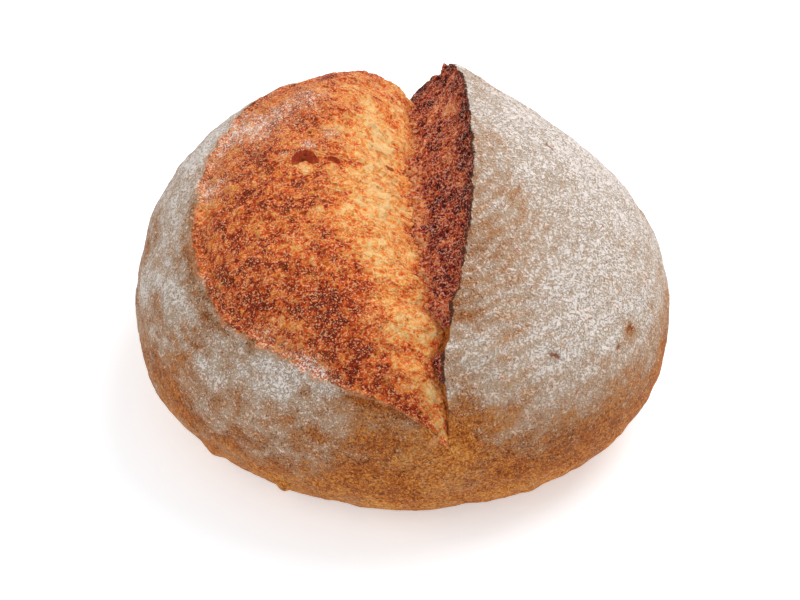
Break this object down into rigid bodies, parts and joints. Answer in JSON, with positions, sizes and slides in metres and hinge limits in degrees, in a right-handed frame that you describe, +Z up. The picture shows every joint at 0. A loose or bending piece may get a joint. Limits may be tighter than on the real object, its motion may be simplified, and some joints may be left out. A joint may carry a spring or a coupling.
{
  "type": "sourdough loaf",
  "caption": "Round floured sourdough loaf, scored once from front to back, with a lifted ear and a bulging open bloom, resting on a flat base.",
  "frame": {"origin": "under the middle of the loaf's bounding box, on the surface that it rests on", "axes": "+Z up; +X to the loaf's right, from the bloom across the score to the ear; +Y to its back, along the score"},
  "size_m": [0.2166, 0.2022, 0.119],
  "materials": {
    "crust": "matte"
  },
  "bodies": {
    "root": {"sourdough_loaf": "crust"}
  },
  "joints": []
}
